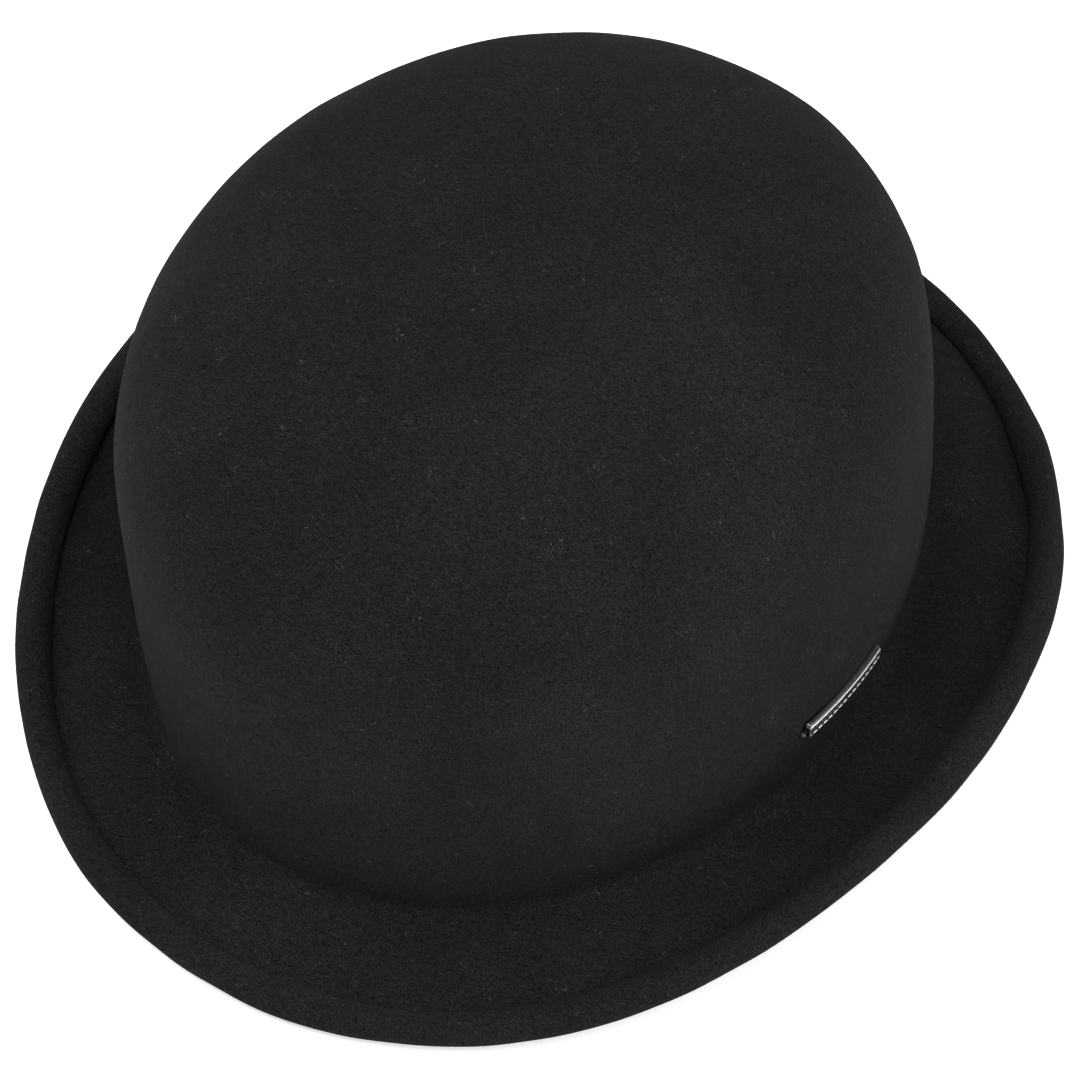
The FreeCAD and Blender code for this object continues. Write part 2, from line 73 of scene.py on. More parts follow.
# Inner pieces, as in the CAD model.
BAND_FOOT = 15.2
BAND_WIDTH = 36.0
LEATHER = 0.8
BAND_GAP_LOW = 0.55
BAND_GAP_HIGH = 2.9
BUTT_GAP = 0.5
REED_HEIGHT = 13.7
REED_DEPTH = 1.15
TAPE_THICK = 0.3
TAPE_RADIUS = 0.9
TAPE_START = 1.3          # above the reed's middle
TAPE_END = 8.2
STITCH_COUNT = 84
STITCH_LENGTH = 4.2
STITCH_THICK = 0.4
STITCH_RAISE = 2.6
TAB_STITCH_COUNT = 6
TAB_STITCH_FOOT = 31.0
TAB_STITCH_STEP = 3.0
LINING_GAP = 1.2
LINING_FOOT = 43.0
TIP_EDGE = 0.42
SATIN_THICK = 0.18
PLEAT_COUNT = 46
PLEAT_HEIGHT = 1.5
PIPING_RADIUS = 1.1
BACK = math.pi / 2
TAB_MIDDLE = 32.0
TAB_HEIGHT = 15.0
TAB_WIDTH = 14.0
TAB_THICK = 0.4
BOW_HEIGHT = 30.0
TAIL_LENGTH = 13.0
TAIL_WIDTH = 6.0
BOW_RIBBON = 8.0
BOW_LOOP = 12.5
RIBBON = 0.4
CLEAR = 0.1

# Badge, as in the CAD model.
BADGE_HEIGHT = 36.9
BADGE_ANGLE = 0.9
BADGE_LENGTH = 29.0
BADGE_WIDTH = 5.0
BADGE_THICK = 1.7
RECESS_DEPTH = 0.6

# Details of the badge that only the looks have.
FRAME_CORNER = 0.9
FRAME_ENDS = 2.4          # both ends of the frame together
FRAME_SIDES = 1.8         # both long sides together
OUTER_DROP = 1.3          # the frame's outside is rounded from this far below its top
OUTER_ROUND = 0.55
INNER_ROUND = 0.24
RIDGE_INSET = 1.15        # from outline to ridge, both sides together
RIDGE_RADIUS = 0.22
RIDGE_SINK = 0.06

# Mesh sizes.
FELT_TURNS = 400
LINING_TURNS = 420
BAND_TURNS = 360

# Nap, in millimetres.
FIBRE_LENGTH = (0.4, 1.3)
FIBRE_RADIUS = (0.014, 0.028)
LINT_LENGTH = (0.8, 2.6)
LINT_RADIUS = (0.02, 0.038)


# Vector helpers. Arrays hold points in the last axis.

def vec(x, y, z):
    return np.stack(np.broadcast_arrays(x, y, z), axis=-1).astype(float)


def unit(v):
    return v / np.maximum(np.linalg.norm(v, axis=-1, keepdims=True), 1e-12)


UP = np.array([0.0, 0.0, 1.0])


# The hat's shape.

def dome_shape(share):
    """Height and width, each 0 to 1, at a share of the way from the top of the dome to its wall."""
    angle = np.asarray(share, float) * math.pi / 2
    low, high = np.full_like(angle, 0.9), np.full_like(angle, 1.6)
    for _ in range(40):
        reach = (low + high) / 2
        up = np.maximum(reach * np.cos(angle), 0) ** DOME_POWER_UP
        out = np.maximum(reach * np.sin(angle), 0) ** DOME_POWER_OUT
        over = up + out > 1
        high = np.where(over, reach, high)
        low = np.where(over, low, reach)
    return reach * np.cos(angle), reach * np.sin(angle)


def crown(turn, place, depth):
    """Points of the crown: place 0 is the top, 1 the top of the wall, 2 the crown line; depth is inwards."""
    turn, place, depth = np.broadcast_arrays(turn, place, np.asarray(depth, float))
    up, out = dome_shape(np.clip(place, 0, 1))
    wall_height = WALL_HEIGHT * (2 - place)
    dome_height = WALL_HEIGHT + (CROWN_HEIGHT - depth - WALL_HEIGHT) * up
    on_dome = place < 1
    height = np.where(on_dome, dome_height, wall_height)
    out = np.where(on_dome, out, 1.0)
    share = np.clip(height / WALL_HEIGHT, 0, 1)
    swell = np.where(on_dome, 1.0, np.sin(share * math.pi / 2))
    tuck = FOOT_TUCK * (1 - swell)
    x = (CROWN_HALF_X - tuck + WALL_BULGE_X * swell - depth) * out * np.cos(turn)
    y = (CROWN_HALF_Y - tuck + WALL_BULGE_Y * swell - depth) * out * np.sin(turn)
    dip = DOME_DIP * y / CROWN_HALF_Y * share
    return vec(x, y - TOP_FORWARD * height / CROWN_HEIGHT + CROWN_BACK, height + CROWN_LINE - dip)


def place_at(height):
    """The place value at a height above the ground: even steps up the wall, looked up on the dome above it."""
    height = np.asarray(height, float)
    places = np.linspace(1, 0.2, 240)
    heights = crown(0.0, places, FELT + LINING_GAP)[..., 2]
    on_wall = 2 - (height - CROWN_LINE) / WALL_HEIGHT
    return np.where(height < CROWN_LINE + WALL_HEIGHT, on_wall, np.interp(height, heights, places))


def wall(turn, height, depth):
    """Points of the crown at a height above the ground, at a depth inwards from the felt's inner face."""
    return crown(turn, place_at(height), FELT + np.asarray(depth, float))


def rim(turn):
    rise = RIM_HEIGHT + RIM_CURL * np.cos(2 * turn) + RIM_SHAPE * np.cos(4 * turn)
    return vec(BRIM_HALF_X * np.cos(turn), BRIM_HALF_Y * np.sin(turn), rise)


def outward(turn, half_x=CROWN_HALF_X, half_y=CROWN_HALF_Y):
    """Level direction square to an ellipse."""
    return unit(vec(half_y * np.cos(turn), half_x * np.sin(turn), 0 * turn))


def around(centre, out, radius, angle):
    angle = np.asarray(angle)[..., None]
    return centre + out * (radius * np.cos(angle)) + UP * (radius * np.sin(angle))


def wall_lean(turn, height):
    rise = crown(turn, place_at(height + 1), 0) - crown(turn, place_at(height), 0)
    return np.arctan2((rise * outward(turn)).sum(-1), rise[..., 2])


def felt_middle(turn, rows):
    """Middle of the felt from the top of the dome to the cut edge inside the roll, rows by turns."""
    half = FELT / 2
    dome = crown(turn, np.linspace(0, 1, rows["dome"], endpoint=False)[:, None], half)
    out = outward(turn)
    root_height = CROWN_LINE - FOOT_TUCK - half
    lean = wall_lean(turn, root_height + BREAK_RADIUS)
    bend_top = root_height + BREAK_RADIUS * (1 + np.sin(lean))
    down = (1 - np.linspace(0, 1, rows["wall"], endpoint=False)[:, None]) ** 1.15
    heights = bend_top + (CROWN_LINE + WALL_HEIGHT - bend_top) * down
    side = crown(turn, place_at(heights), half)

    edge = rim(turn)
    edge_out = outward(turn, BRIM_HALF_X, BRIM_HALF_Y)
    middle_radius = ROLL_RADIUS - half
    centre = around(crown(turn, place_at(bend_top), half), out, BREAK_RADIUS, -lean)
    run = np.hypot(edge[..., 0] - centre[..., 0], edge[..., 1] - centre[..., 1])
    slope = (edge[..., 2] - middle_radius - root_height) / run
    root = np.arctan(ROOT_SLOPE * slope)
    tip = np.arctan(EDGE_SLOPE * slope)

    share = np.linspace(0, 1, rows["bend"])[:, None]
    bend = around(centre, out, BREAK_RADIUS, (math.pi - lean) * (1 - share) + (math.pi * 1.5 + root) * share)

    start = bend[-1]
    roll_start = tip - math.pi / 2
    end = around(edge, edge_out, middle_radius, roll_start)
    third = np.linalg.norm(end - start, axis=-1, keepdims=True) / 3
    root, tip = root[:, None], tip[:, None]
    start_pull = start + (out * np.cos(root) + UP * np.sin(root)) * third
    end_pull = end - (edge_out * np.cos(tip) + UP * np.sin(tip)) * third
    t = (np.linspace(0, 1, rows["brim"] + 2)[1:-1])[:, None, None]
    s = 1 - t
    brim = start * s ** 3 + start_pull * (3 * s * s * t) + end_pull * (3 * s * t * t) + end * t ** 3

    roll_turn = math.pi * 1.5 + math.radians(ROLL_OVERLAP)
    share = np.linspace(0, 1, rows["roll"])[:, None]
    roll = around(edge, edge_out, middle_radius, roll_start + roll_turn * share)
    return np.concatenate([dome, side, bend, brim, roll])


def grid_normals(grid, poles):
    """Unit normals of a grid of rows by turns that closes round the hat."""
    down = np.gradient(grid, axis=0)
    along = np.roll(grid, -1, axis=1) - np.roll(grid, 1, axis=1)
    normals = unit(np.cross(down, along))
    if poles:
        normals[0] = UP
    return normals


def ripples(points, length, height, seed, count=28):
    """Smooth seeded unevenness in millimetres, from waves of about one length in many directions."""
    draw = np.random.default_rng(seed)
    way = unit(draw.normal(size=(count, 3)))
    size = length * draw.uniform(0.7, 1.5, count)
    start = draw.uniform(0, 2 * math.pi, count)
    total = np.zeros(points.shape[:-1])
    for k in range(count):
        total += np.cos(points @ way[k] * (2 * math.pi / size[k]) + start[k])
    return total * height * math.sqrt(2 / count)


# Meshes.

def add_object(name, points, faces, material, uv=None):
    """Smooth mesh object from points in millimetres; uv holds one pair for each corner of each face."""
    mesh = bpy.data.meshes.new(name)
    mesh.from_pydata((np.asarray(points) * MM).tolist(), [], [list(f) for f in faces])
    if uv is not None:
        layer = mesh.uv_layers.new(name="UVMap")
        layer.data.foreach_set("uv", np.asarray(uv, np.float32).ravel())
    mesh.polygons.foreach_set("use_smooth", [True] * len(mesh.polygons))
    mesh.materials.append(material)
    mesh.validate()
    mesh.update()
    obj = bpy.data.objects.new(name, mesh)
    bpy.context.scene.collection.objects.link(obj)
    return obj


def grid_object(name, grid, material, close_rows=False, close_turns=True, poles=""):
    """Mesh of a grid of rows by turns. poles names the ends, 'first' or 'last', that meet in one point."""
    rows, turns = grid.shape[:2]
    index = np.arange(rows * turns).reshape(rows, turns)
    if "first" in poles:
        index[0] = index[0, 0]
    if "last" in poles:
        index[-1] = index[-1, 0]
    lengths = np.cumsum(np.linalg.norm(np.diff(grid, axis=0), axis=-1).mean(1)) * MM
    v = np.concatenate([[0], lengths, [lengths[-1] * rows / (rows - 1)]])
    widest = np.linalg.norm(np.diff(grid, axis=1), axis=-1).sum(1).max() * MM
    u = np.linspace(0, widest, turns + 1)
    faces, uv = [], []
    for i in range(rows if close_rows else rows - 1):
        for j in range(turns if close_turns else turns - 1):
            i2, j2 = (i + 1) % rows, (j + 1) % turns
            corners = [(index[i, j], u[j], v[i]), (index[i2, j], u[j], v[i + 1]),
                       (index[i2, j2], u[j + 1], v[i + 1]), (index[i, j2], u[j + 1], v[i])]
            kept = [c for k, c in enumerate(corners) if c[0] != corners[k - 1][0]]
            faces.append([c[0] for c in kept])
            uv.extend([(c[1], c[2]) for c in kept])
    if close_rows and not close_turns:
        for end in (index[:, 0], index[::-1, -1]):
            faces.append(list(end))
            uv.extend([(0.0, 0.0)] * rows)
    used = np.unique(index)
    place = np.zeros(rows * turns, int)
    place[used] = np.arange(len(used))
    points = grid.reshape(-1, 3)[used]
    return add_object(name, points, [place[f] for f in faces], material, uv=uv)


def finish_piece(obj, slot, *nodes):
    """Hides the CAD nodes it stands for and attaches the piece to the root body it moves with. The slot is not
    used.
    """
    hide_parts(*nodes)
    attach(obj, "root")
    return obj


# Material nodes.

class Shader:
    """A material with one Principled shader and short ways to add nodes to it."""

    def __init__(self, name, **values):
        self.material = bpy.data.materials.new(name)
        self.material.use_nodes = True
        self.tree = self.material.node_tree
        self.main = self.tree.nodes["Principled BSDF"]
        for key, value in values.items():
            self.main.inputs[key.replace("_", " ")].default_value = value
        self.coords = self.add("ShaderNodeTexCoord")

    def add(self, kind, links=None, **settings):
        node = self.tree.nodes.new(kind)
        for key, value in settings.items():
            if hasattr(node, key):
                setattr(node, key, value)
            else:
                node.inputs[key.replace("_", " ")].default_value = value
        for key, source in (links or {}).items():
            self.tree.links.new(source, node.inputs[key])
        return node

    def link(self, source, key):
        self.tree.links.new(source, self.main.inputs[key])

    def place(self, source="Object", scale=(1, 1, 1), turn=(0, 0, 0)):
        node = self.add("ShaderNodeMapping", {"Vector": self.coords.outputs[source]})
        node.inputs["Scale"].default_value = scale
        node.inputs["Rotation"].default_value = turn
        return node.outputs["Vector"]

    def noise(self, where, scale, detail=4.0, roughness=0.55, distortion=0.0):
        node = self.add("ShaderNodeTexNoise", {"Vector": where}, Scale=scale, Detail=detail,
                        Roughness=roughness, Distortion=distortion)
        return node.outputs["Fac"]

    def cells(self, where, scale, feature):
        node = self.add("ShaderNodeTexVoronoi", {"Vector": where}, feature=feature, Scale=scale)
        return node.outputs["Distance"]

    def waves(self, where, scale, direction):
        node = self.add("ShaderNodeTexWave", {"Vector": where}, bands_direction=direction, Scale=scale)
        return node.outputs["Fac"]

    def spread(self, source, low, high, to_low=0.0, to_high=1.0):
        node = self.add("ShaderNodeMapRange", {"Value": source})
        node.inputs["From Min"].default_value = low
        node.inputs["From Max"].default_value = high
        node.inputs["To Min"].default_value = to_low
        node.inputs["To Max"].default_value = to_high
        return node.outputs["Result"]

    def math(self, operation, a, b):
        node = self.add("ShaderNodeMath", operation=operation)
        for socket, value in zip(node.inputs, (a, b)):
            if isinstance(value, (int, float)):
                socket.default_value = value
            else:
                self.tree.links.new(value, socket)
        return node.outputs["Value"]

    def blend(self, share, low, high):
        node = self.add("ShaderNodeMix", data_type="RGBA")
        for socket, value in ((node.inputs[0], share), (node.inputs[6], low), (node.inputs[7], high)):
            if isinstance(value, (int, float)):
                socket.default_value = value
            elif isinstance(value, tuple):
                socket.default_value = (*value, 1.0)
            else:
                self.tree.links.new(value, socket)
        return node.outputs[2]

    def bump(self, height, distance, strength=1.0, under=None):
        links = {"Height": height}
        if under is not None:
            links["Normal"] = under
        node = self.add("ShaderNodeBump", links, Distance=distance, Strength=strength)
        return node.outputs["Normal"]


def felt_material():
    """Black wool felt: matted fibres, mottled grain, faint clouds of tone and pale flecks of lint."""
    s = Shader("felt", Roughness=0.95, Specular_IOR_Level=0.02, Sheen_Weight=0.014, Sheen_Roughness=0.4)
    here = s.place()
    clouds = s.spread(s.noise(here, 20, 3.0, 0.5, 0.6), 0.38, 0.66, 0.82, 1.16)
    mottle = s.spread(s.noise(here, 850, 4.0, 0.7), 0.36, 0.64, 0.75, 1.25)
    grain = s.spread(s.noise(here, 2300, 2.0, 0.85, 0.4), 0.38, 0.62, 0.3, 1.8)
    fibres = None
    for turn in ((0.3, 0.2, 0.5), (1.2, 0.4, 2.1), (2.0, 1.4, 0.9)):
        strand = s.noise(s.place(scale=(1, 6, 1), turn=turn), 700, 2.0, 0.5, 0.6)
        strand = s.spread(strand, 0.5, 0.72)
        fibres = strand if fibres is None else s.math("MAXIMUM", fibres, strand)
    shade = s.math("MULTIPLY", s.math("MULTIPLY", clouds, mottle), grain)
    shade = s.math("ADD", s.math("MULTIPLY", shade, 0.34), s.math("MULTIPLY", fibres, 0.25))
    tone = s.blend(shade, (0.0016, 0.0016, 0.0017), (0.0275, 0.0275, 0.028))
    flecks = s.math("MULTIPLY", s.spread(s.noise(here, 1100, 2.0, 0.5, 1.5), 0.63, 0.72),
                    s.spread(s.noise(here, 130, 2.0), 0.55, 0.66))
    tone = s.blend(s.math("MULTIPLY", flecks, 0.7), tone, (0.085, 0.085, 0.084))
    s.link(tone, "Base Color")
    mat = s.bump(fibres, 0.00012, 0.5)
    mat = s.bump(grain, 0.00008, 0.7, mat)
    mat = s.bump(mottle, 0.00022, 0.5, mat)
    s.link(mat, "Normal")
    return s.material


def nap_material():
    """Single wool fibres that stand off the felt, some of them paler than it."""
    s = Shader("nap", Roughness=0.8, Specular_IOR_Level=0.1)
    shade = s.spread(s.noise(s.place(), 700, 1.0), 0.4, 0.68)
    s.link(s.blend(shade, (0.006, 0.006, 0.0065), (0.05, 0.05, 0.05)), "Base Color")
    return s.material


def lint_material():
    """Pale specks of lint and dust fibres caught in the nap."""
    s = Shader("lint", Roughness=0.85, Specular_IOR_Level=0.1)
    shade = s.spread(s.noise(s.place(), 120, 1.0), 0.35, 0.65)
    s.link(s.blend(shade, (0.06, 0.06, 0.06), (0.2, 0.2, 0.195)), "Base Color")
    return s.material


def leather_material():
    """Black pebbled leather with creased grain, dulled and paler in random patches."""
    s = Shader("sweatband_leather", Specular_IOR_Level=0.45, Coat_Weight=0.06, Coat_Roughness=0.35)
    here = s.place()
    pebbles = s.cells(here, 1500, "DISTANCE_TO_EDGE")
    pebbles = s.spread(pebbles, 0.0, 0.16)
    creases = s.noise(here, 330, 5.0, 0.6, 0.8)
    wear = s.spread(s.noise(here, 60, 4.0), 0.45, 0.75)
    tone = s.blend(wear, (0.040, 0.034, 0.030), (0.066, 0.056, 0.049))
    tone = s.blend(s.math("MULTIPLY", s.spread(pebbles, 0.5, 0.0), 0.6), tone, (0.014, 0.012, 0.0105))
    s.link(tone, "Base Color")
    s.link(s.spread(creases, 0.3, 0.7, 0.34, 0.56), "Roughness")
    s.link(s.bump(creases, 0.00025, 0.5, s.bump(pebbles, 0.00010, 0.6)), "Normal")
    return s.material


def woven_material(name, dark, light, pitch, gloss, rib=0.5, sheen=0.3):
    """Cloth with crossed threads at a pitch in metres; rib above 0.5 makes the weft threads stand out."""
    s = Shader(name, Specular_IOR_Level=0.35, Sheen_Weight=sheen, Sheen_Roughness=0.35)
    along = s.waves(s.place("UV"), 0.5 / pitch / math.pi, "X")
    across = s.waves(s.place("UV"), 0.5 / pitch / math.pi, "Y")
    weave = s.math("ADD", s.math("MULTIPLY", along, rib), s.math("MULTIPLY", across, 1 - rib))
    clouds = s.noise(s.place(), 45, 3.0)
    tone = s.blend(s.spread(weave, 0.25, 0.85), dark, light)
    tone = s.blend(s.math("MULTIPLY", s.spread(clouds, 0.4, 0.7), 0.25), tone, light)
    s.link(tone, "Base Color")
    s.link(s.spread(clouds, 0.3, 0.7, gloss, gloss + 0.14), "Roughness")
    s.link(s.bump(weave, pitch * 0.35, 0.6), "Normal")
    return s.material


def metal_material(name, tone, roughness, brushed=(1, 1, 1)):
    """Metal with fine scratches that follow the brushed scale."""
    s = Shader(name, Metallic=1.0)
    scratches = s.noise(s.place(scale=brushed), 1800, 3.0, 0.6)
    smudges = s.noise(s.place(), 260, 3.0)
    s.link(s.blend(s.spread(smudges, 0.35, 0.7), tone, tuple(v * 0.82 for v in tone)), "Base Color")
    s.link(s.spread(scratches, 0.3, 0.75, roughness, roughness + 0.14), "Roughness")
    s.link(s.bump(scratches, 0.00001, 0.4), "Normal")
    return s.material


def enamel_material():
    """Black enamel, glossy and a little worn."""
    s = Shader("badge_enamel", Coat_Weight=0.6, Coat_Roughness=0.12)
    wear = s.noise(s.place(), 700, 4.0)
    s.link(s.blend(s.spread(wear, 0.5, 0.7), (0.012, 0.012, 0.013), (0.05, 0.05, 0.052)), "Base Color")
    s.link(s.spread(wear, 0.3, 0.7, 0.2, 0.42), "Roughness")
    return s.material


def reed_material():
    """Milky plastic cord with faint drawing lines."""
    s = Shader("reed_plastic", Subsurface_Weight=0.15, Subsurface_Scale=0.001)
    lines = s.noise(s.place(scale=(1, 1, 9)), 500, 3.0)
    s.link(s.blend(s.spread(lines, 0.35, 0.7), (0.5, 0.48, 0.43), (0.62, 0.6, 0.55)), "Base Color")
    s.link(s.spread(lines, 0.3, 0.7, 0.35, 0.5), "Roughness")
    return s.material


# Felt body and its nap.

FELT_ROWS = {"dome": 56, "wall": 24, "bend": 12, "brim": 20, "roll": 34}


def felt_surface():
    """Grid over the whole felt, from the top outside to the top inside, and the grid of its outside only."""
    turn = np.linspace(0, 2 * math.pi, FELT_TURNS, endpoint=False)
    middle = felt_middle(turn, FELT_ROWS)
    normals = grid_normals(middle, True)
    uneven = ripples(middle, 48, 0.16, 3) + ripples(middle, 15, 0.05, 4)
    middle = middle + normals * uneven[..., None]
    half = FELT / 2
    top, under = middle + normals * half, middle - normals * half
    ahead = unit(middle[-1] - middle[-2])
    edge = [middle[-1] + (normals[-1] * math.cos(a) + ahead * math.sin(a)) * half
            for a in np.linspace(0, math.pi, 7)[1:-1]]

    crown_rows = FELT_ROWS["dome"] + FELT_ROWS["wall"]
    brim_end = crown_rows + FELT_ROWS["bend"] + FELT_ROWS["brim"]
    hidden_roll = np.arange(brim_end, len(middle), 2)
    hidden_crown = np.arange(0, crown_rows, 2)
    top_rows = np.concatenate([np.arange(brim_end), hidden_roll])
    under_rows = np.concatenate([hidden_crown, np.arange(crown_rows, len(middle))])
    whole = np.concatenate([top[top_rows], np.array(edge), under[under_rows][::-1]])
    crown_side = (top[:crown_rows + 1], normals[:crown_rows + 1])
    brim_top = (top[crown_rows:brim_end], normals[crown_rows:brim_end])
    brim_under = (under[crown_rows:], -normals[crown_rows:])
    return whole, crown_side, brim_top, brim_under


def felt_nap(name, grid, normals, count, lengths, radii, material):
    """Bent spikes, each a closed three-sided fibre, scattered evenly over a part of the felt's outside."""
    a, b = grid[:-1], grid[1:]
    a2, b2 = np.roll(a, -1, axis=1), np.roll(b, -1, axis=1)
    corner = np.stack([a, b, a2, b2], axis=-2).reshape(-1, 4, 3)
    facing = normals[:-1].reshape(-1, 3)
    size = np.linalg.norm(np.cross(corner[:, 1] - corner[:, 0], corner[:, 2] - corner[:, 0]), axis=1)
    pick = rng.choice(len(corner), count, p=size / size.sum())
    p, q = rng.random((2, count, 1))
    c = corner[pick]
    root = (c[:, 0] * (1 - p) + c[:, 1] * p) * (1 - q) + (c[:, 2] * (1 - p) + c[:, 3] * p) * q
    normal = facing[pick]

    level = unit(np.cross(normal, rng.normal(size=(count, 3))))
    side = np.cross(normal, level)
    length = rng.uniform(*lengths, (count, 1)) * rng.uniform(0.5, 1.0, (count, 1))
    radius = rng.uniform(*radii, (count, 1))
    lift = rng.uniform(0.2, 0.7, (count, 1))
    curl = rng.uniform(-0.5, 0.5, (count, 1))
    middle = root + (level * (1 - lift) + normal * lift) * length * 0.5
    tip = middle + (level + normal * (lift - 0.5) + side * curl) * length * 0.5
    points = []
    for centre, share in ((root - normal * 0.05, 1.0), (middle, 0.8)):
        for k in range(3):
            angle = 2 * math.pi * k / 3
            points.append(centre + (side * math.cos(angle) + normal * math.sin(angle)) * radius * share)
    points.append(tip)
    points = np.stack(points, axis=1).reshape(-1, 3)
    pattern = [(0, 1, 4, 3), (1, 2, 5, 4), (2, 0, 3, 5), (3, 4, 6), (4, 5, 6), (5, 3, 6), (2, 1, 0)]
    faces = [tuple(7 * n + k for k in face) for n in range(count) for face in pattern]
    return add_object(name, points, faces, material)


# Sweatband, reed tape and thread.

def band_gap(height):
    share = np.clip((np.asarray(height, float) - BAND_FOOT) / BAND_WIDTH, 0, 1)
    return BAND_GAP_LOW + (BAND_GAP_HIGH - BAND_GAP_LOW) * share


def groove(height, at, width, deep):
    return deep * np.exp(-((height - at) / width) ** 2)


def sweatband(material):
    """Leather strip with a tooled line under its top edge, a stitch groove near its foot and a butt joint."""
    gap_turn = BUTT_GAP / (2 * CROWN_HALF_X)
    turn = np.linspace(BACK + gap_turn, BACK + 2 * math.pi - gap_turn, BAND_TURNS)
    top = BAND_FOOT + BAND_WIDTH
    rise = BAND_FOOT + BAND_WIDTH * (1 - np.cos(np.linspace(0, math.pi, 44))) / 2
    height = rise[:, None] + 0 * turn
    share = (height - BAND_FOOT) / BAND_WIDTH
    wave = 0.55 * np.sin(5 * turn + 0.7) + 0.35 * np.sin(11 * turn + 2.0)
    height = height + wave * share ** 3
    bulge = ripples(wall(turn, height, 0), 26, 0.14, 8)
    near = band_gap(rise)[:, None] + bulge * share * 1.4
    face = near + LEATHER - groove(rise, top - 2.6, 0.35, 0.22)[:, None]
    face = face - groove(rise, BAND_FOOT + STITCH_RAISE, 0.5, 0.16)[:, None]
    rounded = LEATHER / 2 * (1 - np.clip(np.minimum(rise - BAND_FOOT, top - rise) / 0.4, 0, 1) ** 0.5)
    inner = wall(turn, height, face - rounded[:, None])
    outer = wall(turn, height, near + rounded[:, None])[::3]
    grid = np.concatenate([inner, outer[::-1]])
    return grid_object("sweatband_leather", grid, material, close_rows=True, close_turns=False)


def reed_tape(material):
    """Cotton tape folded round the reed, its flat part standing up behind the leather."""
    turn = np.linspace(0, 2 * math.pi, BAND_TURNS, endpoint=False)
    centre = wall(turn, REED_HEIGHT, REED_DEPTH)
    centre = centre + outward(turn) * ripples(centre, 9, 0.03, 11)[:, None]
    out = outward(turn)
    roll = [around(centre, out, TAPE_RADIUS + 0.02 * math.cos(5 * a), a)
            for a in np.radians(np.linspace(30, -210, 22))]
    roll_back = [around(centre, out, TAPE_RADIUS - TAPE_THICK, a) for a in np.radians(np.linspace(-210, 30, 8))]
    heights = np.linspace(REED_HEIGHT + TAPE_START, REED_HEIGHT + TAPE_END, 5)
    felt_side = [wall(turn, h, 0.1) for h in heights[::-1]]
    band_side = [wall(turn, h, 0.4) for h in heights]
    grid = np.array(felt_side + roll + roll_back + band_side)
    return grid_object("reed_tape_cloth", grid, material, close_rows=True)


def thread(path, radius):
    """Points and faces of a two-ply thread along a path, with round ends."""
    path = np.asarray(path, float)
    sides, twist = 8, 1.4
    along = unit(np.gradient(path, axis=0))
    side = unit(np.cross(along, UP + 0.01))
    over = np.cross(along, side)
    far = np.concatenate([[0], np.cumsum(np.linalg.norm(np.diff(path, axis=0), axis=1))])
    ends = np.clip(np.minimum(far, far[-1] - far) / radius, 0, 1)
    shape = np.sqrt(np.clip(1 - (1 - ends) ** 2, 0.02, 1))
    angle = np.linspace(0, 2 * math.pi, sides, endpoint=False)
    ply = 1 + 0.16 * np.cos(2 * angle[None, :] - twist * far[:, None] / radius)
    reach = radius * shape[:, None] * ply
    points = (path[:, None] + side[:, None] * (reach * np.cos(angle))[..., None]
              + over[:, None] * (reach * np.sin(angle))[..., None])
    rows = len(path)
    faces = [(i * sides + j, i * sides + (j + 1) % sides, (i + 1) * sides + (j + 1) % sides,
              (i + 1) * sides + j) for i in range(rows - 1) for j in range(sides)]
    faces += [tuple(range(sides))[::-1], tuple(range((rows - 1) * sides, rows * sides))]
    return points.reshape(-1, 3), faces


def join_parts(name, parts, material):
    """One object from several lists of points and faces."""
    points, faces, count = [], [], 0
    for part_points, part_faces in parts:
        points.append(part_points)
        faces += [tuple(count + k for k in face) for face in part_faces]
        count += len(part_points)
    return add_object(name, np.concatenate(points), faces, material)


def leather_face(level):
    """Depth of the leather's inner face."""
    return band_gap(level) + LEATHER


def on_band(turn, height, depth):
    """Points on the leather's inner face, or deeper."""
    return wall(turn, height, leather_face(height) + depth)


def band_stitches(material):
    parts = []
    height = BAND_FOOT + STITCH_RAISE
    for step in range(STITCH_COUNT):
        middle = 2 * math.pi * (step + 0.5) / STITCH_COUNT
        step_length = np.linalg.norm(wall(middle + 0.01, height, 2) - wall(middle, height, 2))
        reach = STITCH_LENGTH / 2 / step_length * 0.01
        t = np.linspace(-1, 1, 13)
        path = on_band(middle + reach * t, height + 0.06 * np.sin(step * 2.4) * t, 0.02 + 0.2 * (1 - t ** 4))
        parts.append(thread(path, STITCH_THICK / 2))
    return join_parts("sweatband_thread", parts, material)


def tab_stitches(material):
    parts = []
    for step in range(TAB_STITCH_COUNT):
        lean = 0.75 if step % 2 else -0.75
        t = np.linspace(-1, 1, 13)
        turn = BACK + lean * t * STITCH_LENGTH / 2 / CROWN_HALF_X
        height = TAB_STITCH_FOOT + TAB_STITCH_STEP * step + t * 1.3
        path = on_band(turn, height, 0.14 + 0.2 * (1 - t ** 4))
        parts.append(thread(path, STITCH_THICK / 2))
    return join_parts("tab_thread", parts, material)


# Lining.

def pleats(turn, share):
    """Height of the gathers that fan out from the tip's seam and die away towards the sweatband."""
    phase = PLEAT_COUNT * turn + 1.6 * np.sin(3 * turn + 0.4) + 1.1 * np.sin(7 * turn + 1.9) + 0.7 * share
    fold = (0.5 + 0.5 * np.cos(phase)) ** 1.6
    strength = 0.65 + 0.35 * np.sin(5 * turn + 1.0) * np.sin(2 * turn)
    return fold * strength * (1 - share) ** 1.3


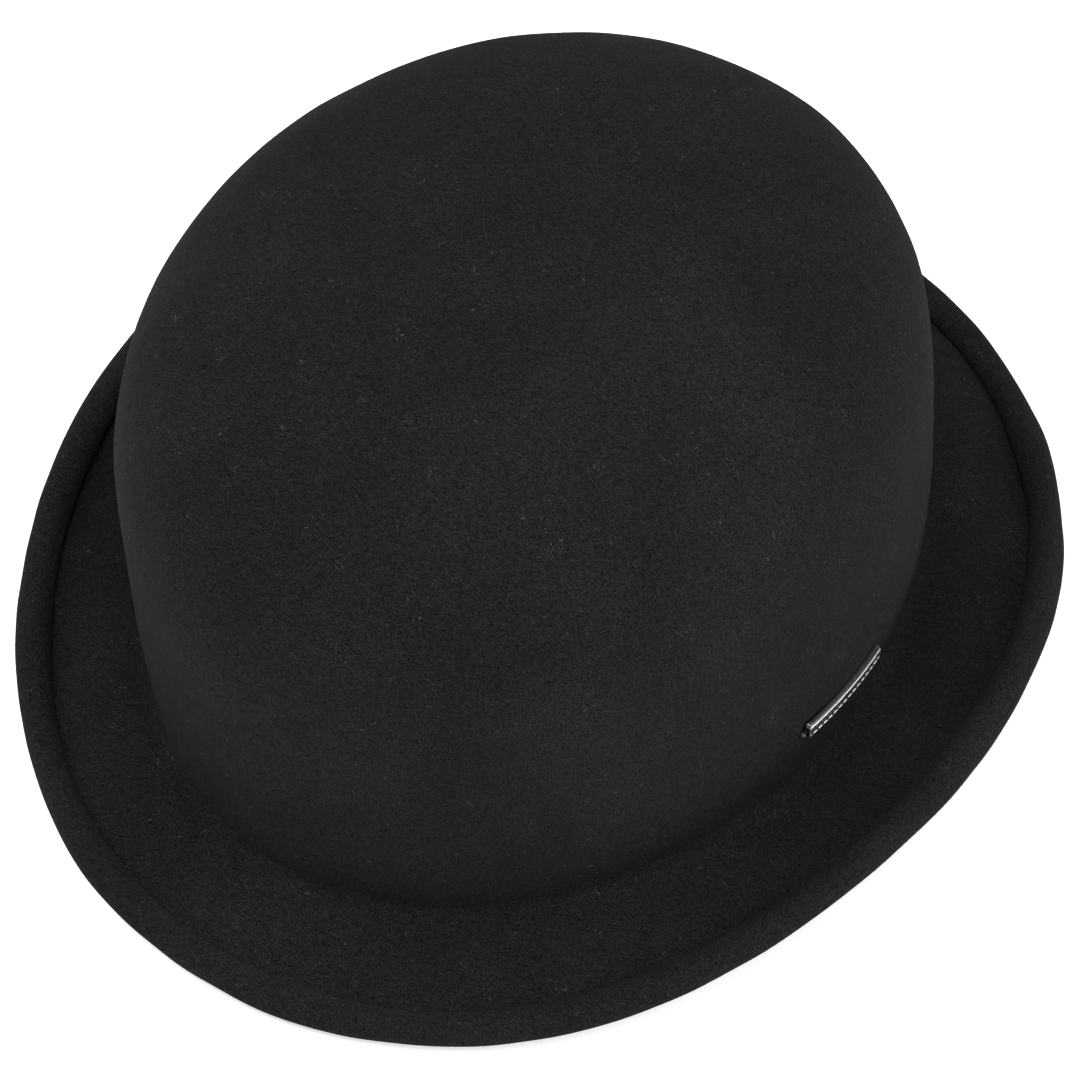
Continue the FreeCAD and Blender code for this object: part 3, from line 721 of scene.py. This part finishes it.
def lining_side(material):
    turn = np.linspace(0, 2 * math.pi, LINING_TURNS, endpoint=False)
    share = np.linspace(0, 1, 60)[:, None]
    place = TIP_EDGE + 0.002 + (place_at(LINING_FOOT) - TIP_EDGE) * share
    rough = crown(turn, place, FELT + LINING_GAP)
    sag = ripples(rough, 30, 0.35, 21) + ripples(rough, 11, 0.13, 22) * (1 - 0.5 * share)
    sag = np.maximum(sag, -0.45)
    quiet = np.clip((1 - share) * 6 - 1, 0, 1) * np.clip(share * 12, 0, 1)
    depth = LINING_GAP + 0.25 + (PLEAT_HEIGHT * pleats(turn, share) + 0.45 + sag) * quiet
    inner = crown(turn, place, FELT + depth + SATIN_THICK)
    outer = crown(turn, place, FELT + depth)
    return grid_object("lining_side_satin", np.concatenate([inner, outer[::-1]]), material, close_rows=True)


def lining_tip(material):
    turn = np.linspace(0, 2 * math.pi, 240, endpoint=False)
    share = np.linspace(0, 1, 46)[:, None]
    place = (TIP_EDGE - 0.004) * share
    rough = crown(turn, place, FELT + LINING_GAP)
    fade = np.clip((1 - share) * 5, 0, 1) * np.clip(share * 4, 0, 1)
    gathers = 0.25 * np.cos(64 * turn + 2 * np.sin(5 * turn)) * np.clip(share * 2 - 1, 0, 1) ** 2
    sag = np.maximum(ripples(rough, 26, 0.3, 31) + ripples(rough, 9, 0.08, 32) + gathers, -0.5)
    depth = LINING_GAP + 0.65 + sag * fade
    inner = crown(turn, place, FELT + depth + SATIN_THICK)
    outer = crown(turn, place, FELT + depth)
    grid = np.concatenate([inner, outer[::-1]])
    return grid_object("lining_tip_satin", grid, material, poles="first last")


def lining_piping(material):
    """Satin-covered cord over the seam, drawn in a little at each stitch."""
    turn = np.linspace(0, 2 * math.pi, 720, endpoint=False)
    centre = crown(turn, TIP_EDGE, FELT + LINING_GAP + PIPING_RADIUS + 0.5)
    out = outward(turn)
    pinch = 1 - 0.10 * np.abs(np.cos(60 * turn)) ** 6
    rows = [around(centre, out, 1, a) for a in np.linspace(0, 2 * math.pi, 14, endpoint=False)]
    grid = np.array([centre + (row - centre) * (PIPING_RADIUS * pinch)[:, None] for row in rows])
    return grid_object("lining_piping_satin", grid, material, close_rows=True)


# Ribbon, tab and labels. A patch is a thin bent sheet that lies on the leather or the lining.

def band_patch(turn, height, across, up, depth, ground=leather_face):
    """Points beside a place inside the crown: millimetres across and up, and depth inwards from the ground."""
    half_x, half_y = CROWN_HALF_X + WALL_BULGE_X, CROWN_HALF_Y + WALL_BULGE_Y
    speed = math.hypot(half_x * math.sin(turn), half_y * math.cos(turn))
    level = height + np.asarray(up, float)
    return wall(turn - np.asarray(across, float) / speed, level, ground(level) + depth)


def sheet_solid(name, front, back, material):
    """Closed thin sheet between two grids of rows by columns."""
    rows, columns = front.shape[:2]
    points = np.concatenate([front.reshape(-1, 3), back.reshape(-1, 3)])
    far = rows * columns
    faces, uv = [], []
    width = np.linalg.norm(np.diff(front, axis=1), axis=-1).mean(0).sum() * MM
    tall = np.linalg.norm(np.diff(front, axis=0), axis=-1).mean(1).sum() * MM

    def place(i, j):
        return (j / (columns - 1) * width, i / (rows - 1) * tall)

    for i in range(rows - 1):
        for j in range(columns - 1):
            corners = [(i, j), (i + 1, j), (i + 1, j + 1), (i, j + 1)]
            faces.append([a * columns + b for a, b in corners])
            faces.append([far + a * columns + b for a, b in corners[::-1]])
            uv += [place(a, b) for a, b in corners] + [place(a, b) for a, b in corners[::-1]]
    rim_path = [(i, 0) for i in range(rows)] + [(rows - 1, j) for j in range(1, columns)]
    rim_path += [(i, columns - 1) for i in range(rows - 2, -1, -1)]
    rim_path += [(0, j) for j in range(columns - 2, 0, -1)]
    for a, b in zip(rim_path, rim_path[1:] + rim_path[:1]):
        one, two = a[0] * columns + a[1], b[0] * columns + b[1]
        faces.append([one, far + one, far + two, two])
        uv += [place(*a), place(*a), place(*b), place(*b)]
    return add_object(name, points, faces, material, uv=uv)


def ribbon_loop(side, material):
    """One loop of the bow: a flattened, puffed ring of ribbon that narrows into the knot."""
    round_it = np.linspace(0, 2 * math.pi, 64, endpoint=False)
    across = np.linspace(-1, 1, 17)[:, None]
    reach = (1 - np.cos(round_it)) / 2
    long = BOW_LOOP * reach + 0.6
    pinch = 0.52 + 0.48 * np.clip(reach * 1.7, 0, 1) ** 0.8
    puff = 0.35 + 1.25 * np.sin(math.pi * np.clip(reach, 0, 1) ** 0.8)
    crease = 0.16 * np.cos(across * 9) * (1 - reach) + 0.10 * np.sin(across * 4 + 3 * reach)
    drop = -1.3 * reach ** 2
    rows = []
    for thick in (0.0, RIBBON * 0.7):
        deep = 1.7 + (puff - thick) * np.sin(round_it) * (1 + 0.12 * across) + crease
        where = side * (long - thick * 0.7) + 0 * across
        up = across * BOW_RIBBON / 2 * pinch + drop + 0.25 * np.sin(5 * reach + across)
        rows.append(band_patch(BACK, BOW_HEIGHT, where, up, deep))
    grid = np.concatenate([rows[0], rows[1][::-1]])
    name = "ribbon_loop_left" if side < 0 else "ribbon_loop_right"
    return grid_object(name, grid, material, close_rows=True)


def ribbon_knot(material):
    """The wrap over the middle of the bow, with creases where it is pulled tight."""
    round_it = np.linspace(0, 2 * math.pi, 56, endpoint=False)
    across = np.linspace(-1, 1, 21)[:, None]
    tall = BOW_RIBBON / 2 + 0.7 + 0.15 * np.cos(6 * across)
    deep = 1.75 + (1.45 + 0.25 * (1 - across ** 2) + 0.14 * np.cos(11 * across + 1)) * np.cos(round_it)
    up = tall * np.sign(np.sin(round_it)) * np.abs(np.sin(round_it)) ** 0.65
    where = 2.3 * across * (1 - 0.18 * np.cos(round_it) ** 2) + 0 * up
    deep = np.maximum(deep, 0.35)
    outer = band_patch(BACK, BOW_HEIGHT, where, up, deep)
    middle = outer.mean(axis=1, keepdims=True)
    inner = middle + (outer - middle) * 0.86
    grid = np.concatenate([outer, inner[::-1]])
    return grid_object("ribbon_knot", grid, material, close_rows=True)


def ribbon_tails(material):
    """Two ends of ribbon, cut at a slant, that hang from the knot and stand a little off the leather."""
    parts = []
    for side in (-1, 1):
        along = np.linspace(0, 1, 26)[:, None]
        across = np.linspace(-1, 1, 13)
        slant = 1 + 0.13 * across * side
        far = TAIL_LENGTH * along * slant
        lean = math.radians(40)
        where = side * (0.8 + far * math.cos(lean)) + across * TAIL_WIDTH / 2 * math.sin(lean)
        up = -1.6 - far * math.sin(lean) + side * across * TAIL_WIDTH / 2 * math.cos(lean)
        wave = 0.9 + 0.45 * np.sin(4.4 * along + side) + 0.2 * across * along * side
        front = band_patch(BACK, BOW_HEIGHT, where, up, wave + RIBBON * 0.6)
        back = band_patch(BACK, BOW_HEIGHT, where, up, wave)
        parts.append((front, back))
    one = sheet_solid("ribbon_tails", *parts[0], material)
    two = sheet_solid("ribbon_tail_two", *parts[1], material)
    return join_objects(one, two)


def join_objects(one, two):
    """Moves the second object's mesh into the first."""
    merged = bmesh.new()
    merged.from_mesh(one.data)
    merged.from_mesh(two.data)
    merged.to_mesh(one.data)
    merged.free()
    mesh = two.data
    bpy.data.objects.remove(two)
    bpy.data.meshes.remove(mesh)
    return one


def leather_tab(material):
    """Patch behind the butt joint, its edges a little rounded."""
    across = np.linspace(-TAB_WIDTH / 2, TAB_WIDTH / 2, 29)
    up = np.linspace(-TAB_HEIGHT / 2, TAB_HEIGHT / 2, 31)[:, None]
    corner = 2.0
    inset_x = np.clip(np.abs(across) - (TAB_WIDTH / 2 - corner), 0, corner)
    inset_y = np.clip(np.abs(up) - (TAB_HEIGHT / 2 - corner), 0, corner)
    pull = np.minimum(1, corner / np.maximum(np.hypot(inset_x, inset_y), corner))
    where = np.sign(across) * (np.abs(across) - inset_x * (1 - pull))
    height = np.sign(up) * (np.abs(up) - inset_y * (1 - pull))
    front = band_patch(BACK, TAB_MIDDLE, where, height, -LEATHER - 0.12)
    back = band_patch(BACK, TAB_MIDDLE, where, height, -LEATHER - 0.12 - TAB_THICK)
    return sheet_solid("joint_patch", front, back, material)


def lining_face(level):
    """Depth just inside the lining, which bulges more above the leather than behind it."""
    return LINING_GAP + 0.55 + 1.3 * np.clip((np.asarray(level, float) - BAND_FOOT - BAND_WIDTH) / 8, 0, 1)


def label_patch(name, turn, height, width, tall, lift, material, curve=0.0, ground=leather_face):
    """Blank woven label with a folded hem at its ends and a faint wave."""
    across = np.linspace(-1, 1, 41)
    up = np.linspace(-1, 1, 37)[:, None]
    round_off = np.sqrt(1 - curve * up ** 2)
    where = across * width / 2 * round_off
    wave = 0.12 * np.sin(2.2 * across + 1.1) * np.cos(1.7 * up)
    hem = 0.10 * (np.abs(up) > 0.93) + 0.06 * (np.abs(across) > 0.95)
    level = up * tall / 2 + 0 * across
    front = band_patch(turn, height, where, level, lift + wave + hem + 0.22, ground)
    back = band_patch(turn, height, where, level, lift + wave, ground)
    return sheet_solid(name, front, back, material)


# Badge.

BADGE_TURN = math.radians(BADGE_ANGLE)


def badge_points(along, up, level):
    """Points on the felt's outside by the badge: along its length, up, and outwards."""
    here = np.asarray(wall(BADGE_TURN, BADGE_HEIGHT, -FELT))
    rise = unit(wall(BADGE_TURN, BADGE_HEIGHT + 1, -FELT) - wall(BADGE_TURN, BADGE_HEIGHT - 1, -FELT))
    side = unit(wall(BADGE_TURN + 0.01, BADGE_HEIGHT, -FELT) - wall(BADGE_TURN - 0.01, BADGE_HEIGHT, -FELT))
    out = np.cross(side, rise)
    half_x, half_y = CROWN_HALF_X + WALL_BULGE_X, CROWN_HALF_Y + WALL_BULGE_Y
    radius = half_y ** 2 / half_x
    angle = np.asarray(along, float) / radius
    reach = radius + np.asarray(level, float)
    along, up, level = np.broadcast_arrays(reach * np.sin(angle), up, reach * np.cos(angle) - radius)
    return here + side * along[..., None] + rise * up[..., None] + out * level[..., None]


def rounded_outline(length, width, corner, long_steps=44, short_steps=8, corner_steps=6):
    """Points round a rectangle with round corners, always the same number of them."""
    points = []
    for k, (sx, sy) in enumerate(((1, 1), (-1, 1), (-1, -1), (1, -1))):
        angle = np.linspace(0, math.pi / 2, corner_steps) + k * math.pi / 2
        arc = np.stack([sx * (length / 2 - corner) + corner * np.cos(angle),
                        sy * (width / 2 - corner) + corner * np.sin(angle)], axis=-1)
        points.append(arc)
    outline = []
    for k, steps in enumerate((long_steps, short_steps, long_steps, short_steps)):
        start, end = points[k][-1], points[(k + 1) % 4][0]
        run = np.linspace(0, 1, steps + 1)[1:-1, None]
        outline += [points[k], start + (end - start) * run]
    return np.concatenate(outline)


def frame_ring(name, rings, material):
    """Closed ring through outlines (length, width, corner, level), in order round its section."""
    rows = []
    for length, width, corner, level in rings:
        points = rounded_outline(length, width, corner)
        rows.append(badge_points(points[:, 0], points[:, 1], level))
    return grid_object(name, np.array(rows), material, close_rows=True)


def badge_frame_ring(material):
    """Polished frame: a rounded lip round a shallow floor."""
    low, top = 0.05, BADGE_THICK + CLEAR
    inner = (BADGE_LENGTH - FRAME_ENDS, BADGE_WIDTH - FRAME_SIDES)
    floor = top - RECESS_DEPTH + 0.05
    rings = [(BADGE_LENGTH, BADGE_WIDTH, FRAME_CORNER, level) for level in (low, top - OUTER_DROP)]
    for k in range(1, 8):
        a = math.pi / 2 * k / 7
        back = OUTER_ROUND * 2 * (1 - math.cos(a))
        level = top - OUTER_DROP + OUTER_DROP * math.sin(a)
        rings.append((BADGE_LENGTH - back, BADGE_WIDTH - back, FRAME_CORNER, level))
    for k in range(5):
        a = math.pi / 2 * k / 4
        back = INNER_ROUND * 2 * (1 - math.sin(a))
        rings.append((inner[0] + back, inner[1] + back, FRAME_CORNER, top - INNER_ROUND * (1 - math.cos(a))))
    rings += [(*inner, FRAME_CORNER, level) for level in (floor - 0.4, low)]
    return frame_ring("badge_frame", rings, material)


def badge_edge(material):
    """Crest of the frame: a thin ring in a bright copy of the frame's silver, a painted highlight line along the
    lip.
    """
    rings = []
    for k in range(8):
        a = 2 * math.pi * k / 8
        reach = 2 * RIDGE_RADIUS * math.cos(a)
        level = BADGE_THICK + CLEAR - RIDGE_SINK + RIDGE_RADIUS * math.sin(a)
        rings.append((BADGE_LENGTH - RIDGE_INSET + reach, BADGE_WIDTH - RIDGE_INSET + reach, 0.7, level))
    return frame_ring("badge_edge", rings, material)


def badge_field(material):
    """Enamel floor, slightly domed."""
    length, width = BADGE_LENGTH - FRAME_ENDS - 0.02, BADGE_WIDTH - FRAME_SIDES - 0.02
    floor = BADGE_THICK + CLEAR - RECESS_DEPTH + 0.2
    outline = rounded_outline(length, width, 0.7)
    rows = []
    for share in (1.0, 0.9, 0.6, 0.3, 0.0):
        rows.append(badge_points(outline[:, 0] * share, outline[:, 1] * share, floor + 0.1 * (1 - share ** 2)))
    under = [badge_points(outline[:, 0] * share, outline[:, 1] * share, floor - 0.5) for share in (0.0, 1.0)]
    return grid_object("badge_field", np.array(rows + under), material, close_rows=True)


def badge_marks(material):
    """Plain worn relief: a lozenge, rows of small marks, dashes on the lower lip and a lug at each end."""
    floor = BADGE_THICK + CLEAR - RECESS_DEPTH + 0.2
    parts = []
    draw = np.random.default_rng(12)
    angles = np.linspace(0, 2 * math.pi, 20, endpoint=False)

    def bead(x, y, half_long, half_wide, tall, lean, base=floor):
        rows = []
        for k in range(5):
            share = math.cos(math.pi / 2 * k / 4.3)
            px, py = half_long * share * np.cos(angles), half_wide * share * np.sin(angles)
            square = 0.78 + 0.22 / np.maximum(np.abs(np.cos(angles)), np.abs(np.sin(angles)))
            px, py = px * square, py * square
            qx = x + px * math.cos(lean) - py * math.sin(lean)
            qy = y + px * math.sin(lean) + py * math.cos(lean)
            rows.append(badge_points(qx, qy, base - 0.05 + tall * math.sin(math.pi / 2 * k / 4)))
        points = np.concatenate(rows)
        count = len(angles)
        faces = [[i * count + j, i * count + (j + 1) % count, (i + 1) * count + (j + 1) % count,
                  (i + 1) * count + j] for i in range(4) for j in range(count)]
        faces += [list(range(4 * count, 5 * count)), list(range(count))[::-1]]
        parts.append((points, faces))
    bead(0, 0, 1.15, 1.15, 0.5, math.pi / 4)
    for step in range(2, 11):
        for side in (-1, 1):
            x = side * step * 1.22
            lean = draw.uniform(-0.25, 0.25)
            bead(x, 0.55 + draw.uniform(-0.2, 0.2), draw.uniform(0.2, 0.42), draw.uniform(0.3, 0.55), 0.4, lean)
            bead(x + 0.2 * side, -0.72, draw.uniform(0.25, 0.5), draw.uniform(0.16, 0.34), 0.34, -lean)
    lip = BADGE_THICK + CLEAR
    for step in range(-7, 8):
        bead(step * 1.85, -BADGE_WIDTH / 2 + 0.55, 0.46, 0.42, 0.36, draw.uniform(-0.1, 0.1), lip)
    for side in (-1, 1):
        bead(side * (BADGE_LENGTH / 2 + 0.35), -BADGE_WIDTH / 2 + 0.9, 0.75, 0.85, 1.3, 0.2 * side, CLEAR)
    return join_parts("badge_marks", parts, material)


# Camera, floor and lights.

VIEW_TURN = 37.301
VIEW_HEIGHT = 53.034
VIEW_ROLL = -0.322
VIEW_DISTANCE = 1318.459
LENS = 184.82
LOOK_AT = np.array([0.679, -2.106, 25.728])

FLOOR_HALF = 6000
FLOOR_GLOW = 0.56
WORLD_GLOW = 0.30

# Name, place in metres, size in metres and power in watts.
LIGHTS = (("light_left", (-0.9, -0.35, 0.75), (0.8, 0.8), 7),
          ("light_right", (0.95, 0.15, 0.6), (0.6, 0.8), 7.2),
          ("light_top", (0.12, -0.28, 1.35), (1.0, 0.9), 14))
LIGHT_AIM = Vector((0, 0, 0.06))


def add_camera():
    turn, height, roll = math.radians(VIEW_TURN), math.radians(VIEW_HEIGHT), math.radians(VIEW_ROLL)
    back = np.array([math.sin(turn) * math.cos(height), -math.cos(turn) * math.cos(height), math.sin(height)])
    right = np.array([math.cos(turn), math.sin(turn), 0])
    up = np.cross(back, right)
    side = math.cos(roll) * right + math.sin(roll) * up
    rise = -math.sin(roll) * right + math.cos(roll) * up
    camera = bpy.data.objects.new("camera", bpy.data.cameras.new("camera"))
    camera.data.lens = LENS
    camera.data.sensor_width = 36
    camera.data.clip_start = 0.01
    place = (LOOK_AT + back * VIEW_DISTANCE) * MM
    camera.matrix_world = Matrix([(*row, at) for row, at in zip(np.array([side, rise, back]).T, place)]
                                 + [(0, 0, 0, 1)])
    bpy.context.scene.collection.objects.link(camera)
    bpy.context.scene.camera = camera


def add_light(name, place, size, power):
    lamp = bpy.data.lights.new(name, "AREA")
    lamp.shape = "RECTANGLE"
    lamp.size, lamp.size_y = size
    lamp.energy = power
    light = bpy.data.objects.new(name, lamp)
    light.location = place
    light.rotation_euler = (LIGHT_AIM - Vector(place)).to_track_quat("-Z", "Y").to_euler()
    bpy.context.scene.collection.objects.link(light)


def floor_material():
    """Plain white that glows enough to read as white paper, and lets views from below see the hat."""
    s = Shader("floor_white", Base_Color=(0.9, 0.9, 0.9, 1), Roughness=0.95, Specular_IOR_Level=0.0,
               Emission_Color=(1, 1, 1, 1), Emission_Strength=FLOOR_GLOW)
    clear = s.add("ShaderNodeBsdfTransparent")
    side = s.add("ShaderNodeNewGeometry")
    mix = s.add("ShaderNodeMixShader", {"Fac": side.outputs["Backfacing"]})
    s.tree.links.new(s.main.outputs["BSDF"], mix.inputs[1])
    s.tree.links.new(clear.outputs["BSDF"], mix.inputs[2])
    out = s.tree.nodes["Material Output"]
    s.tree.links.new(mix.outputs["Shader"], out.inputs["Surface"])
    return s.material


def add_floor():
    points = [(x * FLOOR_HALF, y * FLOOR_HALF, 0) for x, y in ((-1, -1), (1, -1), (1, 1), (-1, 1))]
    floor = add_object("floor", points, [(0, 1, 2, 3)], floor_material())


def add_world():
    world = bpy.data.worlds.new("studio")
    world.use_nodes = True
    world.node_tree.nodes["Background"].inputs["Color"].default_value = (1, 1, 1, 1)
    world.node_tree.nodes["Background"].inputs["Strength"].default_value = WORLD_GLOW
    bpy.context.scene.world = world


add_camera()
add_floor()
add_world()
for light in LIGHTS:
    add_light(*light)
bpy.context.scene.view_settings.view_transform = "Standard"

# Pieces.
BLACK_RIBBON = woven_material("ribbon_grosgrain", (0.006, 0.006, 0.007), (0.026, 0.026, 0.028), 0.00042,
                              0.42, rib=0.85)
SATIN = woven_material("lining_satin", (0.12, 0.12, 0.127), (0.21, 0.21, 0.222), 0.00016, 0.27, rib=0.3,
                       sheen=0.15)
PIPING = woven_material("piping_satin", (0.07, 0.07, 0.074), (0.13, 0.13, 0.137), 0.00016, 0.28, rib=0.3)
LABEL = woven_material("label_cloth", (0.36, 0.35, 0.33), (0.62, 0.61, 0.57), 0.00030, 0.55, rib=0.6)
TAPE = woven_material("tape_cotton", (0.01, 0.01, 0.011), (0.04, 0.04, 0.042), 0.00050, 0.8, rib=0.5)
THREAD = woven_material("thread", (0.08, 0.08, 0.08), (0.15, 0.15, 0.15), 0.00020, 0.5, rib=0.5)
LEATHER_SKIN = leather_material()
# The badge's silver comes in two copies of one metal. The frame's copy is darkened, painted shade standing for
# the dark felt it reflects. The crest's copy is bright, a painted highlight line.
SILVER_PAINTED_SHADE = metal_material("badge_silver_painted_shade", (0.11, 0.11, 0.113), 0.22)
SILVER_PAINTED_HIGHLIGHT = metal_material("badge_silver_painted_highlight", (0.93, 0.93, 0.93), 0.32)
MARKS = metal_material("badge_marks", (0.10, 0.10, 0.103), 0.28)
BRASS = metal_material("prong_brass", (0.72, 0.60, 0.36), 0.3, (1, 8, 1))
STEEL = metal_material("steel", (0.52, 0.52, 0.53), 0.32, (1, 10, 1))

whole, crown_side, brim_top, brim_under = felt_surface()
felt = grid_object("felt_shell", whole, felt_material(), poles="first last")
finish_piece(felt, "felt", "felt_body")
NAP = nap_material()
LINT = lint_material()
for name, part, count, lengths, radii, material in (
        ("nap_crown", crown_side, 19000, FIBRE_LENGTH, FIBRE_RADIUS, NAP),
        ("nap_brim_top", brim_top, 9000, FIBRE_LENGTH, FIBRE_RADIUS, NAP),
        ("nap_brim_under", brim_under, 17000, FIBRE_LENGTH, FIBRE_RADIUS, NAP),
        ("lint_crown", crown_side, 420, LINT_LENGTH, LINT_RADIUS, LINT),
        ("lint_brim", brim_top, 150, LINT_LENGTH, LINT_RADIUS, LINT)):
    nap = felt_nap(name, *part, count, lengths, radii, material)
    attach(nap, "root")

finish_piece(sweatband(LEATHER_SKIN), "sweatband_leather", "sweatband")
finish_piece(reed_tape(TAPE), "tape_cloth", "reed_tape")
finish_piece(band_stitches(THREAD), "thread", "sweatband_stitches")
finish_piece(leather_tab(LEATHER_SKIN), "tab_leather", "sweatband_tab")
finish_piece(tab_stitches(THREAD), "thread", "tab_stitches")
finish_piece(ribbon_loop(-1, BLACK_RIBBON), "ribbon", "bow_loop_left")
finish_piece(ribbon_loop(1, BLACK_RIBBON), "ribbon", "bow_loop_right")
finish_piece(ribbon_knot(BLACK_RIBBON), "ribbon", "bow_knot")
finish_piece(ribbon_tails(BLACK_RIBBON), "ribbon", "bow_tails")
side_cloth = finish_piece(lining_side(SATIN), "lining_satin", "lining_side")
tip_cloth = finish_piece(lining_tip(SATIN), "lining_satin", "lining_tip")
finish_piece(lining_piping(PIPING), "piping_satin", "lining_piping")
size_patch = label_patch("size_patch", math.radians(62), height=36.0, width=16, tall=10, lift=0.25,
                         material=LABEL, curve=0.25)
finish_piece(size_patch, "label_cloth", "size_label")
care_patch = label_patch("care_patch", math.radians(106), height=62.7, width=22, tall=26, lift=0.35,
                         material=LABEL, ground=lining_face)
finish_piece(care_patch, "label_cloth", "care_label")
finish_piece(badge_frame_ring(SILVER_PAINTED_SHADE), "badge_metal", "badge_plate")
finish_piece(badge_edge(SILVER_PAINTED_HIGHLIGHT), "badge_metal", "badge_plate")
finish_piece(badge_field(enamel_material()), "badge_enamel", "badge_inlay")
finish_piece(badge_marks(MARKS), "badge_metal", "badge_relief")

for node, material in (("brim_wire", STEEL), ("brim_wire_joiner", STEEL), ("badge_keeper", STEEL),
                       ("badge_prongs", BRASS), ("sweatband_reed", reed_material())):
    mesh = bpy.data.objects[node].data
    for k in range(len(mesh.materials)):
        mesh.materials[k] = material
